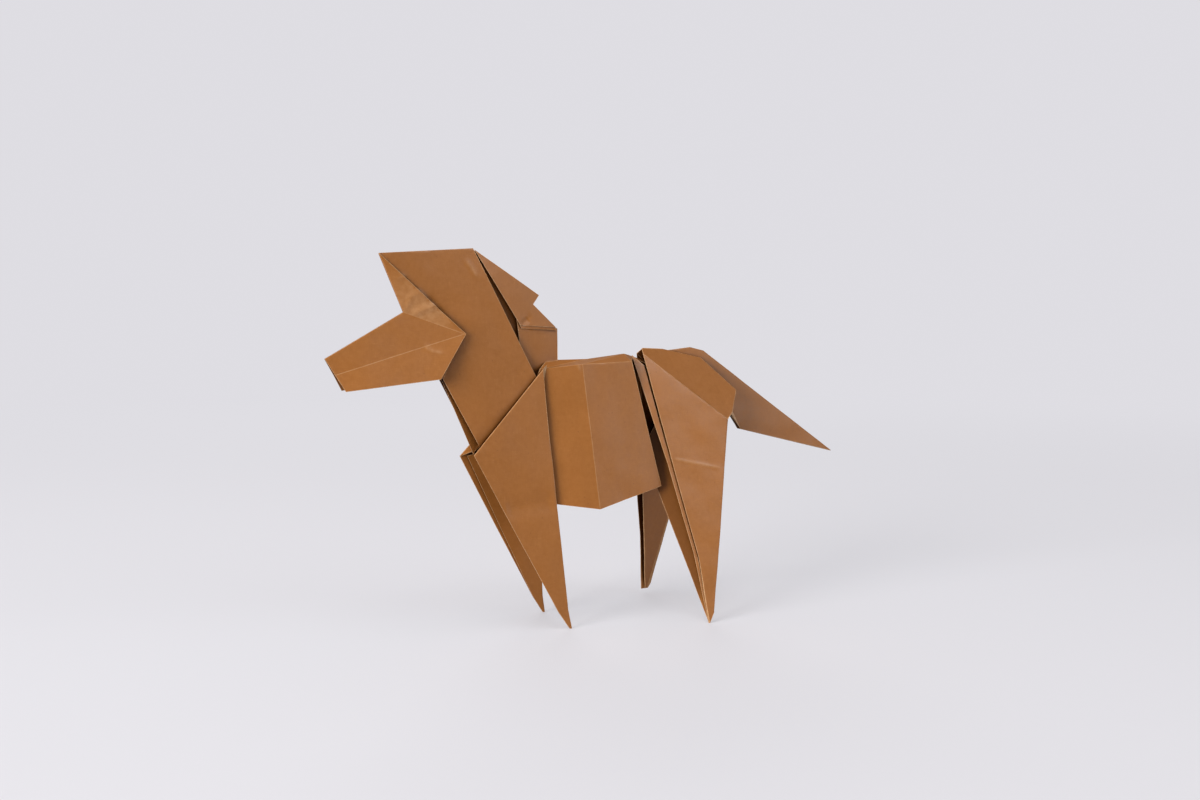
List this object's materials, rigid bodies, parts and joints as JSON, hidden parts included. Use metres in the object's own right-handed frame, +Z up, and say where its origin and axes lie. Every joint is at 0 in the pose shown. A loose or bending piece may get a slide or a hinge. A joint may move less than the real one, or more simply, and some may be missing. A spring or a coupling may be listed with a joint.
{
  "type": "origami horse",
  "caption": "Standing origami horse folded from one sheet of brown kraft paper, with a hooded head, a stepped mane, spread pointed legs and a wedge tail.",
  "frame": {"origin": "on the ground under the middle of the horse's length, on the fold that runs along its back", "axes": "+X from the muzzle to the tail, +Y to the horse's right side, +Z up"},
  "size_m": [0.143, 0.0378, 0.0954],
  "materials": {
    "kraft_paper": "matte"
  },
  "bodies": {
    "root": {"folded_sheet": "kraft_paper"}
  },
  "joints": []
}
